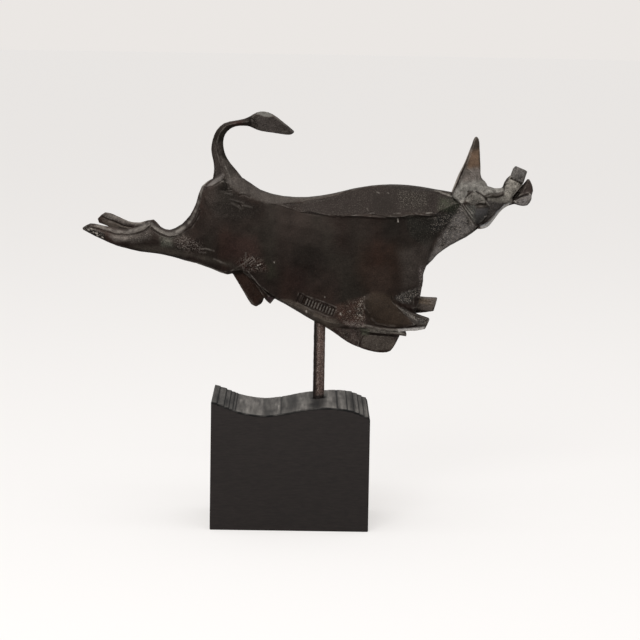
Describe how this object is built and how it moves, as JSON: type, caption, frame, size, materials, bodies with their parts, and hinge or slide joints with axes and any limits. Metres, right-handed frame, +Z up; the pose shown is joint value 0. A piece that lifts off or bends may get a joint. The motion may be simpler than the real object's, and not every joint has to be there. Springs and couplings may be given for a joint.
{
  "type": "bull sculpture",
  "caption": "Leaping bull cast in dark bronze, with a raised tail, horns and an open mouth, held on a round rod above a black wooden block with a wavy top.",
  "frame": {"origin": "centre of the block's underside", "axes": "+X along the bull towards its head, +Y away from the side that the picture shows, +Z up"},
  "size_m": [0.3836, 0.092, 0.351],
  "materials": {
    "bronze": "cast bronze with a dark brown patina, satin",
    "rod": "rough bar with a mottled brown surface",
    "black_wood": "stained black, satin, with saw marks across the top"
  },
  "bodies": {
    "root": {"bull": "bronze", "rod": "rod", "block": "black_wood"}
  },
  "joints": []
}
